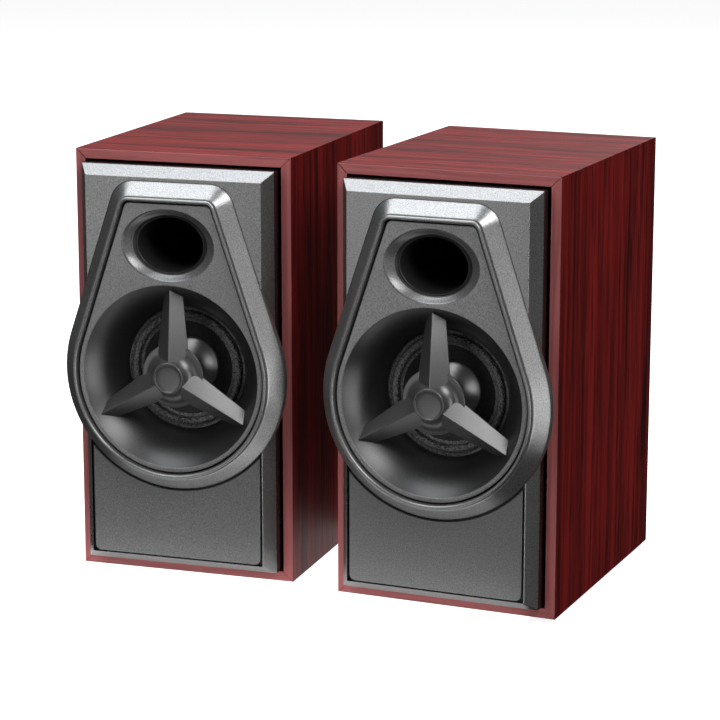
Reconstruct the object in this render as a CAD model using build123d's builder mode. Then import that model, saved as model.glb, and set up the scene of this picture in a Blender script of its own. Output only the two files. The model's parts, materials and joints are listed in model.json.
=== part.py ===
from build123d import *
from math import atan2, copysign, cos, degrees, pi, radians, sin, tan
import os

# A pair of desktop speakers. Each one is modelled in its own frame, in millimetres:
# x to the right, y backward from the cabinet's front rim, z up from the cabinet's underside.
# Both are then placed side by side, with the left one turned in towards the listener.

# Cabinet
WIDTH = 82.0
HEIGHT = 155.0
DEPTH = 106.0
WALL = 9.0
RIM = 3.6
RABBET = 12.0
BACK_RIM = 4.0
BACK_THICK = 6.0
BACK_FACE = DEPTH - BACK_THICK
FOOT_R = 5.0
FOOT_HIGH = 1.5
FOOT_X = 30.0
FOOT_Y = (12.0, 94.0)

# Bevelled front panel and its lower insert
PLATE_GAP = 0.7
PLATE_HALF = WIDTH / 2 - RIM - PLATE_GAP
PLATE_LOW = RIM + PLATE_GAP
BEVEL_Y = -5.0
FACE_Y = -10.2
BEVEL_RUN = 3.5
PLATE_WALL = 2.5
FLANGE_Y = 9.0
FLANGE_GROW = 0.6
INSERT_DEEP = 1.6
INSERT_HALF = 33.0
INSERT_LOW = 7.6
INSERT_TOP = 60.0
INSERT_CORNER = 2.0
GROOVE = 0.8

# Drop-shaped bezel: a circle round the horn with straight leaning sides up to a flat top
DROP_Z = 76.5
DROP_R = 36.2
DROP_TOP = 140.0
DROP_LEAN = radians(18.6)
DROP_CORNER = 3.3
BEZEL_GROW = 5.9
BEZEL_BACK = -7.6
BEAD_GROW = 1.0
BEAD_Y = -15.6
BEAD_HIGH = 0.9
BEZEL_INNER = -0.6
LEDGE_GROW = -2.4

# Horn and its plate
DRIVER_Z = 76.4
MOUTH_Y = -14.6
MOUTH_R = 33.2
THROAT_Y = 2.0
THROAT_R = 22.5
HORN_MIDDLE = (26.8, -6.9)
HORN_WALL = 1.8
HORN_OUT_MIDDLE = (28.6, -6.1)
HORN_OUT_R = 25.6
HORN_FLANGE_R = 31.5
HORN_FLANGE_Y = -1.2
PLATE_GROW = -1.2
PLATE_THICK = 2.0

# Port: an elliptical tube with a flared lip
PORT_Z = 123.9
PORT_END = 45.0
PORT_LIP = 0.8
PORT_WALL = 1.2
PORT_SECTIONS = ((MOUTH_Y, 16.6, 12.1), (-10.5, 13.2, 10.3), (-4.0, 12.0, 9.6))

# Phase plug: a bell-shaped hub with three roof-shaped blades
HUB_FRONT = -16.5
HUB_R = 5.7
HUB_DISH_R = 5.0
HUB_DISH = 0.35
BELL_R = 11.6
BELL_Y = -11.8
BELL_START = (5.9, -15.9)
BELL_MIDDLE = (7.6, -13.1)
HUB_BACK = -10.6
BLADE_ANGLES = (90, 210, 330)
BLADE_ROOT = 2.0
BLADE_TIP = 34.0
BLADE_HALF = 6.9
BLADE_NARROWS = 0.118
BLADE_RIDGE_Y = -16.27
BLADE_FOOT_Y = -12.49
BLADE_SLOPE = 0.0944

# Driver, from front to back
GASKET_Y = (2.0, 2.8)
LIP_Y = (2.8, 3.2)
DRIVER_R = 31.5
BASKET_Y = 3.2
BASKET_THICK = 1.2
ROLL_R = 19.8
ROLL_TUBE = 1.75
ROLL_SKIN = 0.35
CONE_R = 18.0
CONE_NECK_R = 6.6
CONE_NECK_Y = 10.2
CONE_SKIN = 0.6
CAP_R = 10.3
CAP_CREST_Y = 4.4
CAP_SKIN = 0.5
SPIDER_Y = 12.5
SPIDER_SKIN = 0.5
SPIDER_R = 18.4
SPIDER_WAVES = 4
SPIDER_WAVE_R = (8.0, 15.0)
SPIDER_WAVE_HIGH = 1.0
LEDGE_Y = 13.0
LEDGE_R = (15.2, 18.6)
BASKET_MOUTH_R = 21.8
MOTOR_SEAT_R = 8.6
WINDOW_START_R = 17.0
WINDOW_Y = 8.2
WINDOW_SIZE = (14.0, 6.0)
STRIP_SIZE = (12.0, 5.0)
STRIP_UP = 19.3
TAB_SIZE = (2.4, 7.0)
TAB_UP = 23.3
TAB_THICK = 0.8
MOTOR_Y = 18.0
TOP_PLATE_THICK = 3.0
MAGNET_THICK = 10.0
YOKE_THICK = 3.0
GAP_R = 7.6
POLE_R = 5.9
POLE_RISE = 0.5
COIL_R = 7.1
COIL_Y = (17.0, 23.0)
FORMER_WALL = 0.3
FORMER_Y = (9.6, 24.0)
TOP_PLATE_R = 18.0
MAGNET_R = (11.0, 20.0)
YOKE_R = 18.0

# Fasteners
SCREW_R = 1.2
SCREW_CLEAR_R = 1.5
SCREW_HEAD_R = 2.4
SCREW_HEAD_HIGH = 1.6
DRIVER_SCREW_RING = 28.5
DRIVER_SCREWS = [
    (DRIVER_SCREW_RING * cos(radians(angle)), DRIVER_Z + DRIVER_SCREW_RING * sin(radians(angle)))
    for angle in (45, 135, 225, 315)
]
DRIVER_SCREW_END = -1.0
BACK_SCREW_END = 90.0
BACK_SCREWS = [(x, z) for x in (-34.5, 34.5) for z in (30.0, 125.0)]
PILOT_END = 88.0

# Connections on the back
PANEL_Z = 45.0
CONNECTOR_SIZE = (56.0, 46.0)
CONNECTOR_HOLE = (48.0, 38.0)
CONNECTOR_THICK = 1.5
CONNECTOR_CORNER = 3.0
CONNECTOR_SCREWS = [(x, PANEL_Z + z) for x in (-25.5, 25.5) for z in (-20.5, 20.5)]
CONNECTOR_SCREW_END = 100.5
BOARD_Y = 92.0
BOARD_THICK = 1.6
BOARD_BACK = BOARD_Y + BOARD_THICK
BOARD_SIZE = (46.0, 36.0)
CAN_R = 4.0
CAN_HIGH = 11.0
CANS = [(x, PANEL_Z - 8.0) for x in (-12.0, 12.0)]
JACK_R = 1.8
JACK_BARREL_R = 3.0
JACK_END = DEPTH + 3.0
JACK_FLANGE_R = 5.0
JACK_FLANGE_THICK = 1.0
JACK_BODY = (6.4, 7.5)
JACK_FLOOR = 94.6
JACKS = [(4.0, 51.0), (15.0, 51.0)]
GLAND = (9.5, 36.0)
GLAND_R = 1.75
GLAND_NECK_R = 3.2
GLAND_HEAD_R = 4.4
GLAND_Y = (103.0, DEPTH + 5.0)
KNOB = (-13.0, PANEL_Z)
KNOB_R = 7.5
KNOB_Y = (DEPTH + 2.6, DEPTH + 12.6)
KNOB_FLUTES = 24
KNOB_SKIN = 2.0
FLUTE_R = 0.6
FLUTE_OUT = 0.3
POINTER_SIZE = (1.2, 5.0)
POINTER_UP = 4.0
POINTER_DEEP = 0.6
SHAFT_R = 3.0
SHAFT_CLEAR = 0.05
SHAFT_PLAY = 0.2
BUSH_R = 3.5
BUSH_END = DEPTH + 2.0
POT_Y = 98.0
POT_SIZE = (10.0, 12.0)
POT_FLOOR = 1.0
PIN_WIDE = 1.0
PIN_PITCH = 3.0
PIN_DOWN = 5.0
WIRE_R = 0.8
WIRE_X = 2.2
WIRE_UP = 25.0
WIRE_START_Y = 15.0
WIRE_TURNS_Y = (60.0, 80.0)
WIRE_BEND = 10.0
WIRE_ABOVE = 14.0

# Placing of the pair: the left speaker stands this far to the left and is turned in
PAIR_SPACING = 101.3
PAIR_TURN = 5.1

DRIVER_AXIS = Axis((0, 0, DRIVER_Z), (0, 1, 0))
DRIVER_PLANE = Plane.XY.offset(DRIVER_Z)


def front_plane(y):
    """A plane facing forward at depth y. Its own x and y are the object's x and z."""
    return Plane.XZ.offset(-y)


def turned(points):
    """A piece turned about the driver's axis from a closed (radius, depth) outline."""
    with BuildPart() as piece:
        with BuildSketch(DRIVER_PLANE):
            with BuildLine():
                Polyline(points, close=True)
            make_face()
        revolve(axis=DRIVER_AXIS)
    return piece.part


def circles(y, spots, radius):
    """A sketch of equal circles at depth y."""
    with BuildSketch(front_plane(y)) as sketch:
        with Locations(*spots):
            Circle(radius)
    return sketch.sketch


def rectangle(y, size, centre, corner=0.0):
    """A rectangle at depth y."""
    with BuildSketch(front_plane(y)) as sketch:
        with Locations(centre):
            Rectangle(*size)
        if corner:
            fillet(sketch.vertices(), radius=corner)
    return sketch.sketch


def drop(y, grow):
    """The bezel's drop outline at depth y, grown outward by grow."""
    radius = DROP_R + grow
    top = DROP_TOP + grow
    side_x = radius * cos(DROP_LEAN)
    side_z = DROP_Z + radius * sin(DROP_LEAN)
    corner_x = side_x - (top - side_z) * tan(DROP_LEAN)
    with BuildSketch(front_plane(y)) as sketch:
        with BuildLine():
            ThreePointArc((side_x, side_z), (0, DROP_Z - radius), (-side_x, side_z))
            Polyline((-side_x, side_z), (-corner_x, top), (corner_x, top), (side_x, side_z))
        make_face()
        fillet(sketch.vertices().group_by(Axis.Y)[-1], radius=DROP_CORNER + grow)
    return sketch.sketch


# ---------------------------------------------------------------- cabinet
CORNERS = {
    "bottom": ((-WIDTH / 2, 0), (WIDTH / 2, 0)),
    "right_side": ((WIDTH / 2, 0), (WIDTH / 2, HEIGHT)),
    "top": ((WIDTH / 2, HEIGHT), (-WIDTH / 2, HEIGHT)),
    "left_side": ((-WIDTH / 2, HEIGHT), (-WIDTH / 2, 0)),
}


def inner_corner(corner, thickness):
    """A cabinet corner moved inward by thickness along both edges."""
    x, z = corner
    return (x - copysign(thickness, x), thickness if z == 0 else z - thickness)


def cabinet_panel(name):
    """One mitred panel: thinner at the front and the back, where it is rabbeted."""
    start, end = CORNERS[name]
    steps = ((0, RABBET, RIM), (RABBET, BACK_FACE, WALL), (BACK_FACE, DEPTH, BACK_RIM))
    with BuildPart() as panel:
        for y0, y1, thickness in steps:
            with BuildSketch(front_plane(y0)):
                with BuildLine():
                    inside = (inner_corner(end, thickness), inner_corner(start, thickness))
                    Polyline(start, end, *inside, close=True)
                make_face()
            extrude(amount=y0 - y1)
        extrude(circles(BACK_FACE, BACK_SCREWS, SCREW_R), amount=BACK_FACE - PILOT_END, mode=Mode.SUBTRACT)
    return panel.part


def back_panel(master):
    """The back panel, cut out for the connector plate, or for one socket."""
    inside = (WIDTH - 2 * BACK_RIM, HEIGHT - 2 * BACK_RIM)
    cut_out = CONNECTOR_HOLE if master else JACK_BODY
    holes = BACK_SCREWS + (CONNECTOR_SCREWS if master else [])
    with BuildPart() as panel:
        extrude(rectangle(BACK_FACE, inside, (0, HEIGHT / 2)), amount=-BACK_THICK)
        extrude(rectangle(BACK_FACE, cut_out, (0, PANEL_Z)), amount=-BACK_THICK, mode=Mode.SUBTRACT)
        extrude(circles(BACK_FACE, holes, SCREW_R), amount=-BACK_THICK, mode=Mode.SUBTRACT)
    return panel.part


def feet():
    """Four rubber feet under the bottom panel."""
    with BuildPart() as pads:
        with BuildSketch(Plane.XY):
            with Locations(*[(x, y) for x in (-FOOT_X, FOOT_X) for y in FOOT_Y]):
                Circle(FOOT_R)
        extrude(amount=-FOOT_HIGH)
        chamfer(pads.faces().group_by(Axis.Z)[0].edges(), length=0.4)
    return pads.part


# ---------------------------------------------------------------- front
def front_panel():
    """Moulded panel: walls in the rim, a bevelled face, a drop-shaped opening and recesses."""
    outer = (2 * PLATE_HALF, HEIGHT - 2 * PLATE_LOW)
    flange = [side + 2 * FLANGE_GROW for side in outer]
    inner = [side - 2 * PLATE_WALL for side in outer]
    middle = (0, HEIGHT / 2)
    bevel_rise = BEVEL_Y - FACE_Y
    bevel_lean = degrees(atan2(BEVEL_RUN, bevel_rise))
    insert_high = DROP_Z - INSERT_LOW
    insert_size = (2 * INSERT_HALF, insert_high)
    insert_middle = (0, INSERT_LOW + insert_high / 2)
    insert_corner = INSERT_CORNER + GROOVE
    with BuildPart() as panel:
        extrude(rectangle(BEVEL_Y, outer, middle), amount=BEVEL_Y - RABBET)
        extrude(rectangle(BEVEL_Y, outer, middle), amount=bevel_rise, taper=bevel_lean)
        extrude(rectangle(FLANGE_Y, flange, middle), amount=FLANGE_Y - RABBET)
        extrude(rectangle(BEVEL_Y, inner, middle), amount=BEVEL_Y - RABBET, mode=Mode.SUBTRACT)
        extrude(drop(BEVEL_Y, LEDGE_GROW), amount=BEVEL_Y - FACE_Y, mode=Mode.SUBTRACT)
        extrude(drop(BEZEL_BACK, BEZEL_GROW), amount=BEZEL_BACK - FACE_Y, mode=Mode.SUBTRACT)
        recess = rectangle(FACE_Y + INSERT_DEEP, insert_size, insert_middle, insert_corner)
        extrude(recess, amount=INSERT_DEEP, mode=Mode.SUBTRACT)
        return panel.part


def lower_insert():
    """Flat plate let into the panel below the bezel, with a groove all round it."""
    low = INSERT_LOW + GROOVE
    size = (2 * (INSERT_HALF - GROOVE), INSERT_TOP - low)
    with BuildPart() as plate:
        outline = rectangle(FACE_Y + INSERT_DEEP, size, (0, low + size[1] / 2), INSERT_CORNER)
        extrude(outline, amount=INSERT_DEEP)
        extrude(drop(FACE_Y + INSERT_DEEP, BEZEL_GROW + GROOVE), amount=INSERT_DEEP, mode=Mode.SUBTRACT)
        chamfer(plate.faces().sort_by(Axis.Y)[0].edges(), length=0.5)
    return plate.part


def bezel():
    """Drop-shaped ring: a short wall, a sloping flank and a narrow rounded bead."""
    flank_rise = FACE_Y - BEAD_Y
    flank_run = BEZEL_GROW - BEAD_GROW
    with BuildPart() as ring:
        extrude(drop(BEZEL_BACK, BEZEL_GROW), amount=BEZEL_BACK - FACE_Y)
        extrude(drop(FACE_Y, BEZEL_GROW), amount=flank_rise, taper=degrees(atan2(flank_run, flank_rise)))
        extrude(drop(BEAD_Y, BEAD_GROW), amount=BEAD_HIGH)
        extrude(drop(BEZEL_BACK, BEZEL_INNER), amount=BEZEL_BACK - BEAD_Y + BEAD_HIGH, mode=Mode.SUBTRACT)
        fillet(ring.faces().sort_by(Axis.Y)[0].edges(), radius=0.6)
    return ring.part


def horn_air():
    """Half section of the space in front of the throat, inside the horn."""
    front = HUB_FRONT - 1.0
    with BuildSketch(DRIVER_PLANE) as section:
        with BuildLine():
            Polyline((0, THROAT_Y), (0, front), (MOUTH_R, front), (MOUTH_R, MOUTH_Y))
            ThreePointArc((MOUTH_R, MOUTH_Y), HORN_MIDDLE, (THROAT_R, THROAT_Y))
            Line((THROAT_R, THROAT_Y), (0, THROAT_Y))
        make_face()
    return section.sketch


def horn_plate():
    """Plate inside the bezel, moulded in one with the horn and the driver's flange."""
    plate_back = MOUTH_Y + PLATE_THICK
    out_mouth = (MOUTH_R + HORN_WALL, plate_back)
    out_throat = (HORN_OUT_R, HORN_FLANGE_Y)
    with BuildPart() as plate:
        extrude(drop(MOUTH_Y, PLATE_GROW), amount=MOUTH_Y - BEZEL_BACK)
        hollow = drop(plate_back, PLATE_GROW - HORN_WALL)
        extrude(hollow, amount=plate_back - BEZEL_BACK, mode=Mode.SUBTRACT)
        with BuildSketch(DRIVER_PLANE):
            with BuildLine():
                Polyline((0, THROAT_Y), (0, out_mouth[1]), out_mouth)
                ThreePointArc(out_mouth, HORN_OUT_MIDDLE, out_throat)
                Polyline([out_throat, (HORN_FLANGE_R, HORN_FLANGE_Y), (HORN_FLANGE_R, THROAT_Y),
                          (0, THROAT_Y)])
            make_face()
        revolve(axis=DRIVER_AXIS)
        revolve(horn_air(), axis=DRIVER_AXIS, mode=Mode.SUBTRACT)
        with BuildSketch(front_plane(MOUTH_Y)):
            with Locations((0, PORT_Z)):
                Ellipse(*[half + PORT_LIP for half in PORT_SECTIONS[0][1:]])
        extrude(amount=-PLATE_THICK, mode=Mode.SUBTRACT)
        pilots = circles(DRIVER_SCREW_END, DRIVER_SCREWS, SCREW_R)
        extrude(pilots, amount=DRIVER_SCREW_END - THROAT_Y, mode=Mode.SUBTRACT)
    return plate.part


def port_tube():
    """Flared elliptical tube, open at both ends."""
    with BuildPart() as tube:
        for lip, wall, mode in ((PORT_LIP, PORT_WALL, Mode.ADD), (0.0, 0.0, Mode.SUBTRACT)):
            for number, (y, half_x, half_z) in enumerate(PORT_SECTIONS):
                grow = lip if number == 0 else wall
                with BuildSketch(front_plane(y)):
                    with Locations((0, PORT_Z)):
                        Ellipse(half_x + grow, half_z + grow)
            loft(mode=mode)
            y, half_x, half_z = PORT_SECTIONS[-1]
            with BuildSketch(front_plane(y)):
                with Locations((0, PORT_Z)):
                    Ellipse(half_x + wall, half_z + wall)
            extrude(amount=y - PORT_END, mode=mode)
    return tube.part


def radial_plane(angle, radius):
    """A plane that faces outward from the driver's axis; its x runs round it, its y forward."""
    x, z = cos(radians(angle)), sin(radians(angle))
    origin = (radius * x, 0, DRIVER_Z + radius * z)
    return Plane(origin=origin, x_dir=(-z, 0, x), z_dir=(x, 0, z))


def phase_plug():
    """Hub with three blades whose tips meet the horn's wall."""
    with BuildPart() as plug:
        for angle in BLADE_ANGLES:
            for radius in (BLADE_ROOT, BLADE_TIP):
                half = BLADE_HALF - BLADE_NARROWS * radius
                ridge = -BLADE_RIDGE_Y - BLADE_SLOPE * radius
                foot = -BLADE_FOOT_Y - BLADE_SLOPE * radius
                with BuildSketch(radial_plane(angle, radius)):
                    with BuildLine():
                        Polyline((-half, foot), (half, foot), (0, ridge), close=True)
                    make_face()
            loft()
        revolve(horn_air(), axis=DRIVER_AXIS, mode=Mode.INTERSECT)
        with BuildSketch(DRIVER_PLANE):
            dish = HUB_FRONT + HUB_DISH
            with BuildLine():
                Polyline((0, HUB_BACK), (0, dish), (HUB_DISH_R, dish), (HUB_DISH_R, HUB_FRONT))
                Polyline((HUB_DISH_R, HUB_FRONT), (HUB_R, HUB_FRONT), BELL_START)
                ThreePointArc(BELL_START, BELL_MIDDLE, (BELL_R, BELL_Y))
                Polyline((BELL_R, BELL_Y), (BELL_R, HUB_BACK), (0, HUB_BACK))
            make_face()
        revolve(axis=DRIVER_AXIS)
    return plug.part


# ---------------------------------------------------------------- driver
def flat_ring(inner, outer, y_range, holes=0.0):
    """A flat ring about the driver's axis, with optional screw holes."""
    with BuildPart() as ring:
        with BuildSketch(front_plane(y_range[0])):
            with Locations((0, DRIVER_Z)):
                Circle(outer)
                Circle(inner, mode=Mode.SUBTRACT)
            if holes:
                with Locations(*DRIVER_SCREWS):
                    Circle(holes, mode=Mode.SUBTRACT)
        extrude(amount=y_range[0] - y_range[1])
    return ring.part


def surround():
    """Flexible ring: an outer lip under the gasket, a half roll, and a lip on the cone."""
    y0, y1 = LIP_Y
    outer_tube = ROLL_TUBE
    inner_tube = ROLL_TUBE - ROLL_SKIN
    with BuildPart() as ring:
        with BuildSketch(DRIVER_PLANE):
            with BuildLine():
                Polyline((ROLL_R + outer_tube, y0), (DRIVER_R, y0), (DRIVER_R, y1))
                Polyline((DRIVER_R, y1), (ROLL_R + inner_tube, y1))
                ThreePointArc((ROLL_R + inner_tube, y1), (ROLL_R, y1 - inner_tube),
                              (ROLL_R - inner_tube, y1))
                Polyline((ROLL_R - inner_tube, y1), (CONE_R - 1.0, y1), (CONE_R - 1.0, y0))
                Line((CONE_R - 1.0, y0), (ROLL_R - outer_tube, y0))
                ThreePointArc((ROLL_R - outer_tube, y0), (ROLL_R, y0 - outer_tube),
                              (ROLL_R + outer_tube, y0))
            make_face()
        revolve(axis=DRIVER_AXIS)
        extrude(circles(y0, DRIVER_SCREWS, SCREW_CLEAR_R), amount=y0 - y1, mode=Mode.SUBTRACT)
    return ring.part


def cone_front(radius):
    """Depth of the cone's front surface at this radius."""
    lean = (CONE_NECK_Y - BASKET_Y) / (CONE_R - 1.0 - CONE_NECK_R)
    return BASKET_Y + (CONE_R - 1.0 - radius) * lean


def cone():
    """Paper cone with a flat edge for the surround."""
    return turned([
        (CONE_R, BASKET_Y), (CONE_R - 1.0, BASKET_Y), (CONE_NECK_R, CONE_NECK_Y),
        (CONE_NECK_R, CONE_NECK_Y + CONE_SKIN), (CONE_R - 0.8, BASKET_Y + CONE_SKIN),
        (CONE_R, BASKET_Y + CONE_SKIN),
    ])


def dome_middle(edge, crest):
    """A point half way out on the round arc from edge to the crest on the axis."""
    radius, y = edge
    rise = y - crest
    sphere = (radius**2 + rise**2) / (2 * rise)
    return (radius / 2, crest + sphere - (sphere**2 - radius**2 / 4) ** 0.5)


def dust_cap():
    """Domed cap over the cone's neck."""
    inner_r = CAP_R - CAP_SKIN
    inner_crest = CAP_CREST_Y + CAP_SKIN
    edge = (CAP_R, cone_front(CAP_R))
    inner_edge = (inner_r, cone_front(inner_r))
    with BuildPart() as cap:
        with BuildSketch(DRIVER_PLANE):
            with BuildLine():
                ThreePointArc(edge, dome_middle(edge, CAP_CREST_Y), (0, CAP_CREST_Y))
                Line((0, CAP_CREST_Y), (0, inner_crest))
                ThreePointArc((0, inner_crest), dome_middle(inner_edge, inner_crest), inner_edge)
                Line(inner_edge, edge)
            make_face()
        revolve(axis=DRIVER_AXIS)
    return cap.part


def voice_coil():
    """Former with its winding."""
    inner = CONE_NECK_R - FORMER_WALL
    front, back = FORMER_Y
    return turned([
        (inner, front), (CONE_NECK_R, front), (CONE_NECK_R, COIL_Y[0]), (COIL_R, COIL_Y[0]),
        (COIL_R, COIL_Y[1]), (CONE_NECK_R, COIL_Y[1]), (CONE_NECK_R, back), (inner, back),
    ])


def spider():
    """Corrugated centring ring between the former and the basket's ledge."""
    steps = 8 * SPIDER_WAVES
    start, end = SPIDER_WAVE_R
    front = [(CONE_NECK_R + SHAFT_CLEAR, SPIDER_Y)]
    for step in range(steps + 1):
        wave = (1 - cos(2 * pi * SPIDER_WAVES * step / steps)) / 2
        front.append((start + (end - start) * step / steps, SPIDER_Y - SPIDER_WAVE_HIGH * wave))
    front.append((SPIDER_R, SPIDER_Y))
    back = [(radius, y + SPIDER_SKIN) for radius, y in reversed(front)]
    return turned(front + back)


def basket():
    """Pressed frame with a flange, four windows, a spider ledge and a motor seat."""
    skin = BASKET_THICK
    flange_back = BASKET_Y + skin
    with BuildPart() as frame:
        with BuildSketch(DRIVER_PLANE):
            with BuildLine():
                Polyline([
                    (BASKET_MOUTH_R, BASKET_Y), (LEDGE_R[1], LEDGE_Y - 1.0), (LEDGE_R[1], LEDGE_Y),
                    (LEDGE_R[0], LEDGE_Y), (LEDGE_R[0], MOTOR_Y - skin), (MOTOR_SEAT_R, MOTOR_Y - skin),
                    (MOTOR_SEAT_R, MOTOR_Y), (LEDGE_R[0] + skin, MOTOR_Y),
                    (LEDGE_R[0] + skin, LEDGE_Y + skin), (LEDGE_R[1] + skin, LEDGE_Y + skin),
                    (BASKET_MOUTH_R + skin, flange_back), (DRIVER_R, flange_back), (DRIVER_R, BASKET_Y),
                ], close=True)
            make_face()
        revolve(axis=DRIVER_AXIS)
        holes = circles(BASKET_Y, DRIVER_SCREWS, SCREW_CLEAR_R)
        extrude(holes, amount=-skin, mode=Mode.SUBTRACT)
        for angle in (0, 90, 180, 270):
            with BuildSketch(radial_plane(angle, WINDOW_START_R)):
                with Locations((0, -WINDOW_Y)):
                    Rectangle(*WINDOW_SIZE)
            extrude(amount=DRIVER_R - WINDOW_START_R, mode=Mode.SUBTRACT)
    return frame.part


def yoke(front):
    """Back plate of the motor with its centre pole."""
    pole_front, back = MOTOR_Y - POLE_RISE, front + YOKE_THICK
    return turned([
        (0, pole_front), (POLE_R, pole_front), (POLE_R, front), (YOKE_R, front), (YOKE_R, back), (0, back),
    ])


def terminals():
    """Insulating strip with two solder tabs on the back of the basket's ledge."""
    back = LEDGE_Y + BASKET_THICK
    with BuildPart() as strip:
        extrude(rectangle(back, STRIP_SIZE, (0, DRIVER_Z + STRIP_UP)), amount=-BASKET_THICK)
        for x in (-WIRE_X, WIRE_X):
            extrude(rectangle(back, TAB_SIZE, (x, DRIVER_Z + TAB_UP)), amount=-TAB_THICK)
    return strip.part


def screws(master):
    """Driver screws and back panel screws; on the master, the connector plate's too."""
    sets = [
        (DRIVER_SCREWS, BASKET_Y + BASKET_THICK, DRIVER_SCREW_END),
        (BACK_SCREWS, DEPTH, BACK_SCREW_END),
    ]
    if master:
        sets.append((CONNECTOR_SCREWS, DEPTH + CONNECTOR_THICK, CONNECTOR_SCREW_END))
    with BuildPart() as group:
        for spots, seat, end in sets:
            extrude(circles(seat, spots, SCREW_R), amount=seat - end)
            extrude(circles(seat, spots, SCREW_HEAD_R), amount=-SCREW_HEAD_HIGH)
    return group.part


def wires(end_y, end_z):
    """Two insulated wires from the driver's tabs to the back of the cabinet."""
    start_z = DRIVER_Z + WIRE_UP
    first, second = WIRE_TURNS_Y
    with BuildPart() as pair:
        for x in (-WIRE_X, WIRE_X):
            points = [(x, WIRE_START_Y, start_z), (x, first, start_z), (x, second, end_z), (x, end_y, end_z)]
            with BuildLine() as route:
                FilletPolyline(points, radius=WIRE_BEND)
            with BuildSketch(Plane(origin=points[0], z_dir=(0, 1, 0))):
                Circle(WIRE_R)
            sweep(path=route.line)
    return pair.part


# ---------------------------------------------------------------- connections
def jack_body(spots, flange):
    """Socket bodies for a 3.5 mm plug, each with a barrel that reaches past the panel."""
    with BuildPart() as jack:
        for spot in spots:
            extrude(rectangle(BOARD_BACK, JACK_BODY, spot), amount=BOARD_BACK - DEPTH)
        extrude(circles(DEPTH, spots, JACK_BARREL_R), amount=DEPTH - JACK_END)
        if flange:
            extrude(circles(DEPTH, spots, JACK_FLANGE_R), amount=-JACK_FLANGE_THICK)
        extrude(circles(JACK_FLOOR, spots, JACK_R), amount=JACK_FLOOR - JACK_END, mode=Mode.SUBTRACT)
    return jack.part


def connector_plate():
    """Moulded plate over the cut-out in the master's back panel."""
    with BuildPart() as plate:
        extrude(rectangle(DEPTH, CONNECTOR_SIZE, (0, PANEL_Z), CONNECTOR_CORNER), amount=-CONNECTOR_THICK)
        holes = ((CONNECTOR_SCREWS, SCREW_R), (JACKS, JACK_BARREL_R), ([GLAND], GLAND_NECK_R), ([KNOB], BUSH_R))
        for spots, radius in holes:
            extrude(circles(DEPTH, spots, radius), amount=-CONNECTOR_THICK, mode=Mode.SUBTRACT)
        outer_face = plate.faces().sort_by(Axis.Y)[-1]
        chamfer(outer_face.outer_wire().edges(), length=0.6)
    return plate.part


def circuit_board():
    """Amplifier board that carries the sockets and the volume control."""
    with BuildPart() as board:
        extrude(rectangle(BOARD_Y, BOARD_SIZE, (0, PANEL_Z)), amount=-BOARD_THICK)
    return board.part


def capacitors():
    """Two electrolytic capacitors on the board's inner side."""
    with BuildPart() as cans:
        extrude(circles(BOARD_Y, CANS, CAN_R), amount=CAN_HIGH)
        chamfer(cans.faces().group_by(Axis.Y)[0].edges(), length=0.5)
    return cans.part


def power_gland():
    """Flanged bush where the power lead leaves the plate."""
    seat = DEPTH + CONNECTOR_THICK
    length = GLAND_Y[0] - GLAND_Y[1]
    with BuildPart() as gland:
        extrude(circles(GLAND_Y[0], [GLAND], GLAND_NECK_R), amount=length)
        extrude(circles(seat, [GLAND], GLAND_HEAD_R), amount=seat - GLAND_Y[1])
        chamfer(gland.faces().sort_by(Axis.Y)[-1].edges(), length=0.8)
        extrude(circles(GLAND_Y[0], [GLAND], GLAND_R), amount=length, mode=Mode.SUBTRACT)
    return gland.part


def pot_body():
    """Volume control: a case on three pins, with a bush through the plate."""
    with BuildPart() as pot:
        extrude(rectangle(POT_Y, POT_SIZE, KNOB), amount=POT_Y - DEPTH)
        extrude(circles(DEPTH, [KNOB], BUSH_R), amount=DEPTH - BUSH_END)
        for x in (-PIN_PITCH, 0.0, PIN_PITCH):
            pin = rectangle(BOARD_BACK, (PIN_WIDE, PIN_WIDE), (KNOB[0] + x, KNOB[1] - PIN_DOWN))
            extrude(pin, amount=BOARD_BACK - POT_Y)
        bore = circles(POT_Y + POT_FLOOR, [KNOB], SHAFT_R + SHAFT_CLEAR)
        extrude(bore, amount=POT_Y + POT_FLOOR - BUSH_END, mode=Mode.SUBTRACT)
    return pot.part


def pot_shaft():
    """Shaft that turns in the volume control's bush."""
    start, end = POT_Y + POT_FLOOR + SHAFT_PLAY, KNOB_Y[1] - KNOB_SKIN
    with BuildPart() as shaft:
        extrude(circles(start, [KNOB], SHAFT_R), amount=start - end)
    return shaft.part


def volume_knob():
    """Fluted knob with a pointer groove, pushed on the shaft."""
    length = KNOB_Y[0] - KNOB_Y[1]
    with BuildPart() as knob:
        extrude(circles(KNOB_Y[0], [KNOB], KNOB_R), amount=length)
        chamfer(knob.faces().sort_by(Axis.Y)[-1].edges(), length=0.8)
        turns = [radians(360.0 * step / KNOB_FLUTES) for step in range(KNOB_FLUTES)]
        ring = KNOB_R + FLUTE_OUT
        flutes = [(KNOB[0] + ring * cos(turn), KNOB[1] + ring * sin(turn)) for turn in turns]
        extrude(circles(KNOB_Y[0], flutes, FLUTE_R), amount=length, mode=Mode.SUBTRACT)
        pointer = rectangle(KNOB_Y[1] - POINTER_DEEP, POINTER_SIZE, (KNOB[0], KNOB[1] + POINTER_UP))
        extrude(pointer, amount=-POINTER_DEEP, mode=Mode.SUBTRACT)
        extrude(circles(KNOB_Y[0], [KNOB], SHAFT_R), amount=length + KNOB_SKIN, mode=Mode.SUBTRACT)
    return knob.part


# ---------------------------------------------------------------- assembly
magnet_y = MOTOR_Y + TOP_PLATE_THICK
yoke_y = magnet_y + MAGNET_THICK

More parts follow.
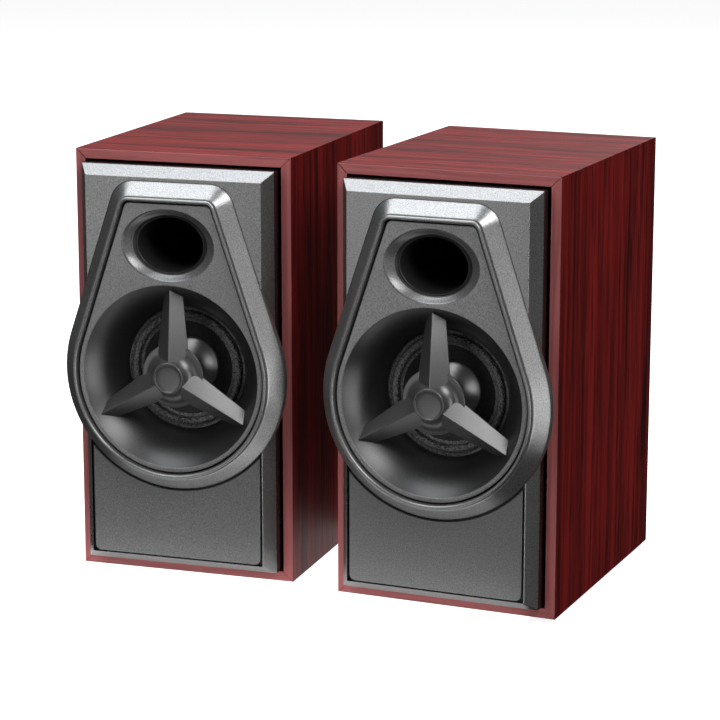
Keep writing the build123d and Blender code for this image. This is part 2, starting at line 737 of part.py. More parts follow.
common = {
    "cabinet_top": cabinet_panel("top"),
    "cabinet_bottom": cabinet_panel("bottom"),
    "cabinet_left_side": cabinet_panel("left_side"),
    "cabinet_right_side": cabinet_panel("right_side"),
    "feet": feet(),
    "front_panel": front_panel(),
    "lower_insert": lower_insert(),
    "bezel": bezel(),
    "horn_plate": horn_plate(),
    "port_tube": port_tube(),
    "phase_plug": phase_plug(),
    "driver_gasket": flat_ring(THROAT_R, DRIVER_R, GASKET_Y, SCREW_CLEAR_R),
    "surround": surround(),
    "cone": cone(),
    "dust_cap": dust_cap(),
    "voice_coil": voice_coil(),
    "spider": spider(),
    "driver_basket": basket(),
    "top_plate": flat_ring(GAP_R, TOP_PLATE_R, (MOTOR_Y, magnet_y)),
    "magnet": flat_ring(*MAGNET_R, (magnet_y, yoke_y)),
    "yoke": yoke(yoke_y),
    "driver_terminals": terminals(),
}
right_only = {
    "cabinet_back": back_panel(master=True),
    "screws": screws(master=True),
    "speaker_wires": wires(BOARD_Y, PANEL_Z + WIRE_ABOVE),
    "connector_plate": connector_plate(),
    "circuit_board": circuit_board(),
    "capacitors": capacitors(),
    "jack_sockets": jack_body(JACKS, flange=False),
    "power_gland": power_gland(),
    "pot_body": pot_body(),
    "pot_shaft": pot_shaft(),
    "volume_knob": volume_knob(),
}
left_only = {
    "cabinet_back": back_panel(master=False),
    "screws": screws(master=False),
    "speaker_wires": wires(BOARD_BACK, PANEL_Z),
    "input_socket": jack_body([(0, PANEL_Z)], flange=True),
}

# The origin is the middle of the pair's bounding box, on the surface that the feet stand on.
side_places = {"right": Location((0, 0, 0)), "left": Location((-PAIR_SPACING, 0, 0), (0, 0, PAIR_TURN))}
side_pieces = {"right": {**common, **right_only}, "left": {**common, **left_only}}
placed = {
    f"{side}_{name}": side_places[side] * piece
    for side, pieces in side_pieces.items()
    for name, piece in pieces.items()
}
box = Compound(children=[Compound(piece.wrapped) for piece in placed.values()]).bounding_box()
centre_shift = Location((-(box.min.X + box.max.X) / 2, -(box.min.Y + box.max.Y) / 2, -box.min.Z))

os.makedirs("parts", exist_ok=True)
for name, piece in placed.items():
    final = centre_shift * piece
    final.label = name
    export_step(final, f"parts/{name}.step")
print(len(placed), "pieces", centre_shift.position)
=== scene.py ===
import json
import math
import random

import bmesh
import bpy
from mathutils import Matrix, Vector


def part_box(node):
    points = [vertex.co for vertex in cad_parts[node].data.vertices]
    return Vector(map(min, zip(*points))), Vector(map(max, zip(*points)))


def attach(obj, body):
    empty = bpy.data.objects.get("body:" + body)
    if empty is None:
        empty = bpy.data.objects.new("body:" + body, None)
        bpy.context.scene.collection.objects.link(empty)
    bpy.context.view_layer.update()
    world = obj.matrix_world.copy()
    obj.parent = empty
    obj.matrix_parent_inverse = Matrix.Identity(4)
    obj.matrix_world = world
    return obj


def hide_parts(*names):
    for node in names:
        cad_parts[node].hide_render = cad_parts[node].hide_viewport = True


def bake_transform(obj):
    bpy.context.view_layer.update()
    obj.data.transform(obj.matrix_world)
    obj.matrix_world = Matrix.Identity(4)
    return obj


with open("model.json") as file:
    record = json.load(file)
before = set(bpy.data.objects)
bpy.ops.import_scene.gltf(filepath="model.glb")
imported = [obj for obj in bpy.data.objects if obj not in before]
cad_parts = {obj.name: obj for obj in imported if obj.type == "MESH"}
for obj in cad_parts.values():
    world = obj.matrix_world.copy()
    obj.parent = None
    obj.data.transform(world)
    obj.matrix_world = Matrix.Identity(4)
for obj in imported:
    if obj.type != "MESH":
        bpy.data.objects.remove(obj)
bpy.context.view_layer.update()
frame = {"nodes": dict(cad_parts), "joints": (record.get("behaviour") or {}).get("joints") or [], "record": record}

# ---------------------------------------------------------------- the frame's places
# Each speaker has its own frame in millimetres: x to the right, y backward from the
# cabinet's front rim, z up from the cabinet's underside. A matrix takes it to the row frame.
MM = 0.001
SIDES = ("right", "left")
DEPTH = (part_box("right_cabinet_top")[1][1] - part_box("right_cabinet_top")[0][1]) / MM
HEIGHT = (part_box("right_cabinet_top")[1][2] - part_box("right_cabinet_bottom")[0][2]) / MM
# Heights of the driver's axis and of the port's.
DRIVER_Z = 76.4
PORT_Z = 123.9


def side_turn(side):
    """How far a speaker is turned about Z, from the axis that its cone moves along."""
    for joint in frame["joints"]:
        if joint["name"] == f"{side}_cone_travel":
            return math.atan2(-joint["axis"][0], joint["axis"][1])
    return 0.0


def side_matrix(side):
    """From a speaker's own frame in millimetres to the row frame in metres."""
    low, high = [Vector(corner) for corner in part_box(f"{side}_cabinet_top")]
    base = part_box(f"{side}_cabinet_bottom")[0][2]
    middle = Vector(((low.x + high.x) / 2, (low.y + high.y) / 2, base))
    turn = Matrix.Rotation(side_turn(side), 4, "Z")
    to_front = Matrix.Translation((0, -DEPTH / 2, 0))
    return Matrix.Translation(middle) @ turn @ Matrix.Scale(MM, 4) @ to_front


PLACE = {side: side_matrix(side) for side in SIDES}

# ---------------------------------------------------------------- camera and light
# In the right speaker's own frame; the aim is yaw and pitch in degrees, the lens in millimetres.
CAMERA_PLACE = (323.1, -822.4, 287.6)
CAMERA_AIM = (23.38, 12.69)
CAMERA_LENS = 131.1
WORLD_LIGHT = 0.03
MIDDLE = (0.0, 0.0, 0.08)
NEUTRAL = (1.0, 1.0, 1.0)
COOL = (0.93, 0.965, 1.0)
# Soft panels that face the pair's middle: place and size in metres, power in watts, colour.
LIGHTS = {
    "light_top": ((-0.15, 0.12, 1.1), (1.5, 0.8), 16.5, COOL),
    "light_key": ((0.86, -0.50, 1.00), (0.75, 0.6), 11.0, NEUTRAL),
    "light_right": ((1.10, -0.44, -0.12), (0.22, 0.9), 3.6, NEUTRAL),
    "light_front": ((-0.70, -1.45, 0.15), (0.8, 1.2), 3.8, NEUTRAL),
    "light_low": ((0.56, -1.2, -0.12), (0.14, 0.7), 1.6, NEUTRAL),
    "light_above": ((-0.5, -0.9, 0.95), (0.6, 0.4), 2.6, NEUTRAL),
    "light_back": ((-0.55, 1.25, 0.36), (1.2, 0.35), 0.6, NEUTRAL),
    "light_rear": ((0.15, 1.3, 1.0), (0.8, 0.5), 4.0, NEUTRAL),
}
FLOOR_SIZE, FLOOR_Z, FLOOR_GLOW = (12.0, 12.0), -0.0002, 0.88
CARD_SIZE, CARD_PLACE, CARD_GLOW = (0.19, 0.13), (-0.01, -0.03, -0.0001), 0.5
PALE = (0.85, 0.85, 0.85)


def make_camera():
    """A long lens from the right and a little above, level with the horizon."""
    yaw, pitch = [math.radians(angle) for angle in CAMERA_AIM]
    data = bpy.data.cameras.new("camera")
    data.lens = CAMERA_LENS
    data.sensor_width = 36.0
    data.clip_start = 0.01
    camera = bpy.data.objects.new("camera", data)
    bpy.context.scene.collection.objects.link(camera)
    look = Vector((-math.sin(yaw) * math.cos(pitch), math.cos(yaw) * math.cos(pitch), -math.sin(pitch)))
    camera.location = PLACE["right"] @ Vector(CAMERA_PLACE)
    camera.rotation_euler = look.to_track_quat("-Z", "Y").to_euler()
    bpy.context.scene.camera = camera


def area_light(name, place, size, power, colour):
    """A soft rectangular light that the camera doesn't see."""
    data = bpy.data.lights.new(name, "AREA")
    data.shape = "RECTANGLE"
    data.size, data.size_y = size
    data.energy = power
    data.color = colour
    light = bpy.data.objects.new(name, data)
    bpy.context.scene.collection.objects.link(light)
    light.location = place
    light.rotation_euler = (Vector(MIDDLE) - Vector(place)).to_track_quat("-Z", "Y").to_euler()
    light.visible_camera = False


def make_world():
    """White behind the pair for the camera, and only a faint fill for everything else."""
    world = bpy.data.worlds.new("studio")
    bpy.context.scene.world = world
    world.use_nodes = True
    nodes, links = world.node_tree.nodes, world.node_tree.links
    nodes.clear()
    output = nodes.new("ShaderNodeOutputWorld")
    shown = nodes.new("ShaderNodeBackground")
    lit = nodes.new("ShaderNodeBackground")
    mix = nodes.new("ShaderNodeMixShader")
    path = nodes.new("ShaderNodeLightPath")
    shown.inputs["Color"].default_value = (*NEUTRAL, 1.0)
    lit.inputs["Color"].default_value = (*NEUTRAL, 1.0)
    lit.inputs["Strength"].default_value = WORLD_LIGHT
    links.new(path.outputs["Is Camera Ray"], mix.inputs[0])
    links.new(lit.outputs[0], mix.inputs[1])
    links.new(shown.outputs[0], mix.inputs[2])
    links.new(mix.outputs[0], output.inputs["Surface"])


def make_floor():
    """The camera sees the wide floor; the paint and the wood are lit only by the small card."""
    floor = flat_card("floor", FLOOR_SIZE, (0.0, 0.0, FLOOR_Z), FLOOR_GLOW)
    floor.visible_diffuse = False
    floor.visible_glossy = False
    card = flat_card("floor_card", CARD_SIZE, CARD_PLACE, CARD_GLOW)
    card.visible_camera = False


def flat_card(name, size, place, glow):
    """A pale sheet that lies flat and glows a little."""
    bpy.ops.mesh.primitive_plane_add(size=1.0, location=place)
    sheet = bpy.context.object
    sheet.name = name
    sheet.scale = (size[0], size[1], 1.0)
    shader = Shader(name)
    shader.set(Base_Color=PALE, Roughness=0.6, Emission_Color=NEUTRAL, Emission_Strength=glow)
    sheet.data.materials.append(shader.material)
    return sheet


# ---------------------------------------------------------------- materials
class Shader:
    """A node material built a step at a time round one Principled BSDF."""

    def __init__(self, name):
        self.material = bpy.data.materials.new(name)
        self.material.use_nodes = True
        self.tree = self.material.node_tree
        self.tree.nodes.clear()
        output = self.tree.nodes.new("ShaderNodeOutputMaterial")
        self.bsdf = self.tree.nodes.new("ShaderNodeBsdfPrincipled")
        self.tree.links.new(self.bsdf.outputs[0], output.inputs["Surface"])
        self.place = self.tree.nodes.new("ShaderNodeTexCoord").outputs["Object"]
        self.height = None

    def feed(self, value, socket):
        """Links a socket's output, or sets a plain number or colour."""
        if isinstance(value, bpy.types.NodeSocket):
            self.tree.links.new(value, socket)
        elif isinstance(value, tuple):
            socket.default_value = (*value, 1.0)
        else:
            socket.default_value = value

    def set(self, **values):
        """Feeds sockets of the BSDF; an underscore in a name stands for a space."""
        for name, value in values.items():
            self.feed(value, self.bsdf.inputs[name.replace("_", " ")])

    def turned(self, vector, turn):
        """A vector turned back about Z by a speaker's turn."""
        node = self.tree.nodes.new("ShaderNodeVectorRotate")
        node.rotation_type = "Z_AXIS"
        node.inputs["Angle"].default_value = -turn
        self.feed(vector, node.inputs["Vector"])
        return node.outputs[0]

    def mapped(self, scale, turn=0.0):
        """Object coordinates in metres, turned about Z and then stretched by scale."""
        stretch = self.tree.nodes.new("ShaderNodeVectorMath")
        stretch.operation = "MULTIPLY"
        stretch.inputs[1].default_value = scale
        self.feed(self.turned(self.place, turn), stretch.inputs[0])
        return stretch.outputs[0]

    def even(self, cells):
        """Object coordinates with this many noise cells to the metre along each axis."""
        return self.mapped((cells,) * 3)

    def noise(self, coords, detail, rough=0.5, distort=0.0):
        """Noise whose cells are one unit of coords wide."""
        node = self.tree.nodes.new("ShaderNodeTexNoise")
        node.inputs["Scale"].default_value = 1.0
        node.inputs["Detail"].default_value = detail
        node.inputs["Roughness"].default_value = rough
        node.inputs["Distortion"].default_value = distort
        self.feed(coords, node.inputs["Vector"])
        return node.outputs["Fac"]

    def ramp(self, value, stops):
        """A colour or grey ramp: stops are (position, colour or grey)."""
        node = self.tree.nodes.new("ShaderNodeValToRGB")
        while len(node.color_ramp.elements) < len(stops):
            node.color_ramp.elements.new(0.5)
        for element, (position, colour) in zip(node.color_ramp.elements, stops):
            element.position = position
            colour = colour if isinstance(colour, tuple) else (colour,) * 3
            element.color = (*colour, 1.0)
        self.feed(value, node.inputs[0])
        return node.outputs[0]

    def mix(self, factor, first, second, blend="MIX"):
        """Two colours mixed; a factor or colour may be a socket or a plain value."""
        node = self.tree.nodes.new("ShaderNodeMix")
        node.data_type = "RGBA"
        node.blend_type = blend
        # Sockets 6, 7 and 2 of the mix node are its two colours and its colour result.
        self.feed(factor, node.inputs[0])
        self.feed(first, node.inputs[6])
        self.feed(second, node.inputs[7])
        return node.outputs[2]

    def sum(self, first, second, operation="ADD"):
        """Two numbers added, or combined by another operation of the math node."""
        node = self.tree.nodes.new("ShaderNodeMath")
        node.operation = operation
        self.feed(first, node.inputs[0])
        self.feed(second, node.inputs[1])
        return node.outputs[0]

    def bump(self, value, distance, strength=1.0):
        """Adds a bump of this height in metres on top of the last one."""
        node = self.tree.nodes.new("ShaderNodeBump")
        node.inputs["Distance"].default_value = distance
        node.inputs["Strength"].default_value = strength
        self.feed(value, node.inputs["Height"])
        if self.height:
            self.feed(self.height, node.inputs["Normal"])
        self.height = node.outputs[0]
        self.set(Normal=self.height)

    def facing(self, axis, low, high, turn=0.0):
        """0 to 1 as the surface's own normal goes from low to high along an axis."""
        geometry = self.tree.nodes.new("ShaderNodeNewGeometry")
        split = self.tree.nodes.new("ShaderNodeSeparateXYZ")
        self.feed(self.turned(geometry.outputs["True Normal"], turn), split.inputs[0])
        spread = self.tree.nodes.new("ShaderNodeMapRange")
        spread.inputs["From Min"].default_value = low
        spread.inputs["From Max"].default_value = high
        self.feed(split.outputs[axis], spread.inputs["Value"])
        return spread.outputs["Result"]


# Noise cells to the metre in the paint, and the near-black painted shade for side walls in the gap round the
# panel.
FLAKES = 2600.0
CLOUDS = 34.0
WALL_SHADE = (0.006, 0.006, 0.006)


def painted_plastic(name, dark, light, metallic, roughness, speckle=0.15, pore=0.00005, shade_walls=False):
    """Satin metallic paint on moulded plastic; shade_walls paints the side walls near-black, as painted shade in
    the gap round the panel.
    """
    shader = Shader(name)
    flakes = shader.noise(shader.even(FLAKES), detail=2.0, rough=0.6)
    clouds = shader.noise(shader.even(CLOUDS), detail=3.0)
    spread = shader.ramp(flakes, [(0.5 - speckle, dark), (0.5 + speckle, light)])
    tint = shader.ramp(clouds, [(0.3, 0.93), (0.7, 1.0)])
    paint = shader.mix(1.0, spread, tint, "MULTIPLY")
    # Painted shade: walls that face sideways turn near-black, like the dark gap round the panel.
    if shade_walls:
        paint = shader.mix(shader.facing("Y", -0.20, -0.35), WALL_SHADE, paint)
    gloss = shader.ramp(clouds, [(0.3, roughness - 0.03), (0.7, roughness + 0.04)])
    shader.set(Base_Color=paint, Roughness=gloss, Metallic=metallic, IOR=1.5)
    shader.bump(flakes, pore, 0.35)
    return shader.material


def wood_veneer(name, along, turn):
    """Red-brown vinyl veneer: wide bands, dark streaks and short pores along one axis."""
    def stretched(across, length):
        """Coordinates for marks so many metres wide, and so many metres long with the grain."""
        scale = [1.0 / across] * 3
        scale[along] = 1.0 / length
        return shader.mapped(tuple(scale), turn)

    shader = Shader(name)
    bands = shader.noise(stretched(0.011, 0.30), detail=3.0, distort=0.6)
    streaks = shader.noise(stretched(0.0030, 0.085), detail=6.0, rough=0.70, distort=0.9)
    pores = shader.noise(stretched(0.00075, 0.022), detail=2.0, rough=0.5)
    base = shader.ramp(bands, [(0.30, (0.105, 0.0030, 0.0026)), (0.52, (0.190, 0.0070, 0.0066)),
                               (0.74, (0.260, 0.0120, 0.0115))])
    dark = shader.ramp(streaks, [(0.37, 0.05), (0.46, 0.50), (0.55, 1.0)])
    fine = shader.ramp(pores, [(0.30, 0.35), (0.46, 1.0)])
    grain = shader.mix(0.92, base, dark, "MULTIPLY")
    grain = shader.mix(0.60, grain, fine, "MULTIPLY")
    # Painted light: the front-facing edges are paler than the broad faces, as if lit from the front.
    edge = shader.facing("Y", -0.6, -0.95, turn)
    lit_edge_tint = shader.mix(0.28, (0.50, 0.145, 0.145), dark, "MULTIPLY")
    gloss = shader.ramp(pores, [(0.3, 0.55), (0.6, 0.42)])
    shader.set(Base_Color=shader.mix(edge, grain, lit_edge_tint), Roughness=gloss)
    shader.set(Specular_IOR_Level=0.3, IOR=1.46)
    shader.bump(pores, 0.00003, 0.5)
    shader.bump(streaks, 0.00004, 0.3)
    return shader.material


def foam(name, dark, light):
    """Open-cell foam or felt: fuzzy, uneven and dull."""
    shader = Shader(name)
    cells = shader.noise(shader.even(2400.0), detail=3.0, rough=0.7)
    clumps = shader.noise(shader.even(1100.0), detail=3.0)
    both = shader.sum(shader.sum(cells, 0.65, "MULTIPLY"), shader.sum(clumps, 0.35, "MULTIPLY"))
    # Painted highlight: only the crest, which faces forward, shows the light cells; faces turned away stay dark as
    # painted shade.
    lit_crest = shader.facing("Y", -0.62, -1.0)
    shade = shader.mix(lit_crest, (dark, dark, dark), shader.ramp(both, [(0.36, dark), (0.66, light)]))
    shader.set(Base_Color=shade, Roughness=0.95)
    shader.set(Sheen_Weight=0.8, Sheen_Roughness=0.4, Sheen_Tint=(0.5, 0.5, 0.5))
    shader.bump(both, 0.0005, 0.9)
    return shader.material


def paper(name, dark, light):
    """Pressed paper with short fibres."""
    shader = Shader(name)
    fibres = shader.noise(shader.mapped((900.0, 900.0, 2600.0)), detail=5.0, rough=0.65, distort=1.2)
    shader.set(Base_Color=shader.ramp(fibres, [(0.35, dark), (0.7, light)]), Roughness=0.75)
    shader.bump(fibres, 0.00015, 0.6)
    return shader.material


def metal(name, colour, roughness):
    """Bare or plated metal with fine uneven gloss, drawn out along y."""
    shader = Shader(name)
    marks = shader.noise(shader.mapped((1800.0, 450.0, 1800.0)), detail=3.0)
    gloss = shader.ramp(marks, [(0.3, roughness - 0.06), (0.7, roughness + 0.08)])
    tint = shader.ramp(marks, [(0.3, tuple(0.86 * part for part in colour)), (0.7, colour)])
    shader.set(Base_Color=tint, Roughness=gloss, Metallic=1.0)
    shader.bump(marks, 0.00002, 0.3)
    return shader.material


def moulded(name, colour, roughness, grain=900.0, depth=0.00006):
    """Plain moulded plastic or rubber with a fine eroded texture."""
    shader = Shader(name)
    texture = shader.noise(shader.even(grain), detail=4.0, rough=0.55)
    tint = shader.ramp(texture, [(0.3, tuple(0.8 * part for part in colour)), (0.7, colour)])
    gloss = shader.ramp(texture, [(0.3, roughness + 0.06), (0.7, roughness - 0.05)])
    shader.set(Base_Color=tint, Roughness=gloss)
    shader.bump(texture, depth, 0.5)
    return shader.material


# One finish for each of the record's slots but the veneer, and two that only this script uses.
LOOKS = {
    "back_board": moulded("back_board", (0.034, 0.033, 0.032), 0.5, grain=1400.0),
    "foot_rubber": moulded("foot_rubber", (0.022, 0.022, 0.022), 0.75),
    "panel_plastic": painted_plastic("panel_plastic", 0.16, 0.30, 0.78, 0.28, shade_walls=True),
    "insert_plastic": painted_plastic("insert_plastic", 0.12, 0.22, 0.50, 0.40),
    "bezel_plastic": painted_plastic("bezel_plastic", 0.20, 0.36, 0.80, 0.33),
    "horn_plastic": painted_plastic("horn_plastic", 0.17, 0.30, 0.65, 0.34),
    # The horn's inside is the plate's plastic made darker: painted shade inside the horn.
    "horn_inside_shaded": painted_plastic("horn_inside_shaded", 0.07, 0.12, 0.88, 0.38, speckle=0.4, pore=0.00002),
    "port_plastic": moulded("port_plastic", (0.020, 0.020, 0.020), 0.42, grain=1500.0, depth=0.00003),
    "plug_plastic": painted_plastic("plug_plastic", 0.10, 0.15, 0.62, 0.34, speckle=0.4, pore=0.00002),
    "gasket_foam": foam("gasket_foam", 0.010, 0.035),
    "surround_foam": foam("surround_foam", 0.008, 0.42),
    "cone_paper": paper("cone_paper", 0.010, 0.045),
    "cap_metal": painted_plastic("cap_metal", 0.42, 0.50, 0.95, 0.36, speckle=0.45, pore=0.000001),
    "coil_copper": metal("coil_copper", (0.62, 0.26, 0.11), 0.35),
    "spider_cloth": paper("spider_cloth", (0.26, 0.15, 0.03), (0.50, 0.34, 0.10)),
    "basket_steel": moulded("basket_steel", (0.02, 0.02, 0.02), 0.4),
    "motor_steel": metal("motor_steel", (0.50, 0.49, 0.46), 0.36),
    "ferrite": moulded("ferrite", (0.05, 0.05, 0.052), 0.62, grain=700.0, depth=0.0001),
    "tab_brass": metal("tab_brass", (0.66, 0.50, 0.22), 0.33),
    "screw_steel": metal("screw_steel", (0.055, 0.055, 0.058), 0.38),
    "wire_pvc": moulded("wire_pvc", (0.30, 0.012, 0.012), 0.42),
    "connector_plastic": moulded("connector_plastic", (0.016, 0.016, 0.017), 0.55, grain=1100.0,
                                 depth=0.00009),
    "board_laminate": moulded("board_laminate", (0.02, 0.14, 0.05), 0.4),
    "can_aluminium": moulded("can_aluminium", (0.02, 0.03, 0.09), 0.35),
    "jack_plastic": moulded("jack_plastic", (0.018, 0.018, 0.018), 0.3),
    "gland_rubber": moulded("gland_rubber", (0.02, 0.02, 0.02), 0.72),
    "pot_metal": metal("pot_metal", (0.52, 0.52, 0.50), 0.34),
    "shaft_steel": metal("shaft_steel", (0.58, 0.58, 0.58), 0.26),
    "knob_plastic": moulded("knob_plastic", (0.018, 0.018, 0.019), 0.36, grain=1300.0, depth=0.00004),
    "mark_paint": moulded("mark_paint", (0.75, 0.75, 0.74), 0.5),
}
# The axis that each veneered panel's grain runs along: 0 is x, 2 is z.
GRAIN_ALONG = {"cabinet_top": 0, "cabinet_bottom": 0, "cabinet_left_side": 2, "cabinet_right_side": 2}
WOOD = {
    (side, along): wood_veneer(f"wood_{side}_{'xyz'[along]}", along, side_turn(side))
    for side in SIDES for along in (0, 2)
}

# ---------------------------------------------------------------- mesh helpers
# Edges that turn by more than this many degrees stay crisp.
SHARP = 32.0


def build(name, side, points, faces, look, body, replaces=(), sharp=SHARP):
    """A mesh piece from points in a speaker's own millimetres."""
    mesh = bpy.data.meshes.new(name)
    mesh.from_pydata([PLACE[side] @ Vector(point) for point in points], [], faces)
    finish_mesh(mesh, sharp)
    return place_piece(name, mesh, look, body, replaces)


def finish_mesh(mesh, sharp):
    """Outward normals, and smooth shading up to an angle in degrees."""
    work = bmesh.new()
    work.from_mesh(mesh)
    bmesh.ops.remove_doubles(work, verts=work.verts, dist=1e-7)
    bmesh.ops.recalc_face_normals(work, faces=work.faces)
    work.to_mesh(mesh)
    work.free()
    mesh.polygons.foreach_set("use_smooth", [True] * len(mesh.polygons))
    mesh.set_sharp_from_angle(angle=math.radians(sharp))


def place_piece(name, mesh, look, body, replaces=()):
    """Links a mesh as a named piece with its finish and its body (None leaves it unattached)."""
    mesh.materials.clear()
    mesh.materials.append(LOOKS[look])
    piece = bpy.data.objects.new(name, mesh)
    bpy.context.scene.collection.objects.link(piece)
    if body:
        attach(piece, body)
    if replaces:
        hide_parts(*replaces)
    return piece


def true_normals(piece):
    """Keeps broad faces flat up to their rounded edges."""
    normals = piece.modifiers.new("normals", "WEIGHTED_NORMAL")
    normals.weight = 100
    normals.keep_sharp = True


def loft(rings, loop=False):
    """Faces between rings of equal length; a ring of one point is a pole. loop closes the tube."""
    points, starts = [], []
    for ring in rings:
        starts.append(len(points))
        points += ring
    pairs = list(zip(range(len(rings)), range(1, len(rings))))
    if loop:
        pairs.append((len(rings) - 1, 0))
    faces = []
    for first, second in pairs:
        a, b = starts[first], starts[second]
        count = max(len(rings[first]), len(rings[second]))
        for step in range(count):
            after = (step + 1) % count
            if len(rings[first]) == 1:
                faces.append((a, b + step, b + after))
            elif len(rings[second]) == 1:
                faces.append((a + step, b, a + after))
            else:
                faces.append((a + step, b + step, b + after, a + after))
    return points, faces


def circle_ring(radius, y, centre=(0.0, DRIVER_Z), count=144):
    """A circle of points about an axis along y."""
    if radius == 0.0:
        return [(centre[0], y, centre[1])]
    turns = [2 * math.pi * step / count for step in range(count)]
    return [(centre[0] + radius * math.cos(t), y, centre[1] + radius * math.sin(t)) for t in turns]


def arc(start, middle, end, count):
    """Points on the circle through three points, start and end included."""
    (ax, ay), (bx, by), (cx, cy) = start, middle, end
    d = 2 * (ax * (by - cy) + bx * (cy - ay) + cx * (ay - by))
    ux = ((ax**2 + ay**2) * (by - cy) + (bx**2 + by**2) * (cy - ay) + (cx**2 + cy**2) * (ay - by)) / d
    uy = ((ax**2 + ay**2) * (cx - bx) + (bx**2 + by**2) * (ax - cx) + (cx**2 + cy**2) * (bx - ax)) / d
    radius = math.hypot(ax - ux, ay - uy)
    angles = [math.atan2(y - uy, x - ux) for x, y in (start, middle, end)]
    middle_sweep = (angles[1] - angles[0]) % (2 * math.pi)
    sweep = (angles[2] - angles[0]) % (2 * math.pi)
    if middle_sweep > sweep:
        sweep -= 2 * math.pi
    turns = [angles[0] + sweep * step / count for step in range(count + 1)]
    return [(ux + radius * math.cos(t), uy + radius * math.sin(t)) for t in turns]


def turned(profile, loop=False):
    """Faces for a (radius, depth) profile turned about the driver's axis."""
    return loft([circle_ring(radius, y) for radius, y in profile], loop)


def fill_plate(name, side, outlines, front, back, rounding):
    """Flat plate between two depths from closed (x, z) outlines, the first with holes after it."""
    curve = bpy.data.curves.new(name, "CURVE")
    curve.dimensions = "2D"
    curve.fill_mode = "BOTH"
    curve.extrude = (back - front) / 2 - rounding
    curve.bevel_depth = rounding
    curve.bevel_resolution = 2
    for outline in outlines:
        spline = curve.splines.new("POLY")
        spline.points.add(len(outline) - 1)
        for point, (x, z) in zip(spline.points, outline):
            point.co = (x, z, 0.0, 1.0)
        spline.use_cyclic_u = True
    holder = bpy.data.objects.new(name, curve)
    bpy.context.scene.collection.objects.link(holder)
    depsgraph = bpy.context.evaluated_depsgraph_get()
    mesh = bpy.data.meshes.new_from_object(holder.evaluated_get(depsgraph))
    bpy.data.objects.remove(holder)
    bpy.data.curves.remove(curve)
    stand = Matrix(((1, 0, 0, 0), (0, 0, -1, (front + back) / 2), (0, 1, 0, 0), (0, 0, 0, 1)))
    mesh.transform(PLACE[side] @ stand)
    finish_mesh(mesh, SHARP)
    return mesh


# ---------------------------------------------------------------- the drop outline
DROP_Z = 76.5
DROP_R = 36.2
DROP_TOP = 140.0
DROP_LEAN = math.radians(18.6)
DROP_CORNER = 3.3
ROUND_STEPS, SIDE_STEPS, CORNER_STEPS, TOP_STEPS = 72, 14, 12, 5


def drop_ring(grow, y):
    """The bezel's outline grown outward: round below, straight sides, rounded top corners."""
    radius = DROP_R + grow
    corner = DROP_CORNER + grow
    corner_z = DROP_TOP - DROP_CORNER
    lean_cos, lean_sin = math.cos(DROP_LEAN), math.sin(DROP_LEAN)
    corner_x = (DROP_R - DROP_CORNER - (corner_z - DROP_Z) * lean_sin) / lean_cos
    half = []
    for step in range(ROUND_STEPS):
        angle = -math.pi / 2 + (DROP_LEAN + math.pi / 2) * step / ROUND_STEPS
        half.append((radius * math.cos(angle), DROP_Z + radius * math.sin(angle)))
    foot = (radius * lean_cos, DROP_Z + radius * lean_sin)
    head = (corner_x + corner * lean_cos, corner_z + corner * lean_sin)
    for step in range(SIDE_STEPS):
        share = step / SIDE_STEPS
        half.append((foot[0] + (head[0] - foot[0]) * share, foot[1] + (head[1] - foot[1]) * share))
    for step in range(CORNER_STEPS):
        angle = DROP_LEAN + (math.pi / 2 - DROP_LEAN) * step / CORNER_STEPS
        half.append((corner_x + corner * math.cos(angle), corner_z + corner * math.sin(angle)))
    for step in range(TOP_STEPS):
        half.append((corner_x * (1 - step / TOP_STEPS), corner_z + corner))
    top = (0.0, corner_z + corner)
    mirrored = [(-x, z) for x, z in reversed(half[1:])]
    return [(x, y, z) for x, z in half + [top] + mirrored]


def make_bezel(side):
    """Raised ring: undercut foot, sloping flank, a fine step, then a rounded bead."""
    profile = [(5.55, -7.6), (5.9, -7.9), (5.9, -9.9), (5.82, -10.25), (5.62, -10.5)]
    profile += [(5.0, -11.15), (3.4, -12.9), (1.9, -14.55), (1.45, -15.05)]
    profile += [(1.24, -15.22), (1.08, -15.26), (0.98, -15.2), (0.92, -15.32), (0.9, -15.55)]
    profile += arc((0.9, -15.7), (0.2, -16.42), (-0.55, -15.7), 10)
    profile += [(-0.6, -15.3), (-0.6, -7.6)]
    points, faces = loft([drop_ring(grow, y) for grow, y in profile], loop=True)
    name = f"{side}_bezel_ring"
    build(name, side, points, faces, "bezel_plastic", f"{side}_speaker",
          [f"{side}_bezel"], 50.0)


# ---------------------------------------------------------------- front panel
PANEL_HALF = 36.7
PANEL_LOW = 4.3
PANEL_CORNER = 0.35
BEVEL_IN = 3.65
FACE_Y = -10.2
FACE_HALF = PANEL_HALF - BEVEL_IN
FACE_LOW = 110.2
RECESS_Y = -8.6
INSERT_HALF = 32.2
INSERT_LOW = 8.4
INSERT_CORNER = 2.0
INSERT_EDGE = 0.3
# How far each plate's arch stands outside the drop's outline.
FACE_CLEAR, FLOOR_CLEAR, INSERT_CLEAR = 6.0, 5.9, 6.7


def rounded_corner(x, z, radius, start, steps=5):
    """Points round one corner of a rectangle, from start degrees through a quarter turn."""
    centre_x, centre_z = x - math.copysign(radius, x), z + (radius if start >= 180 else -radius)
    turns = [math.radians(start + 90.0 * step / steps) for step in range(steps + 1)]
    return [(centre_x + radius * math.cos(turn), centre_z + radius * math.sin(turn)) for turn in turns]


def panel_ring(grow, y):
    """The front panel's outline grown outward."""
    half, low, high = PANEL_HALF + grow, PANEL_LOW - grow, HEIGHT - PANEL_LOW + grow
    corners = ((half, high), (-half, high), (-half, low), (half, low))
    points = []
    for quarter, (x, z) in enumerate(corners):
        points += rounded_corner(x, z, PANEL_CORNER, 90 * quarter)
    return [(x, y, z) for x, z in points]


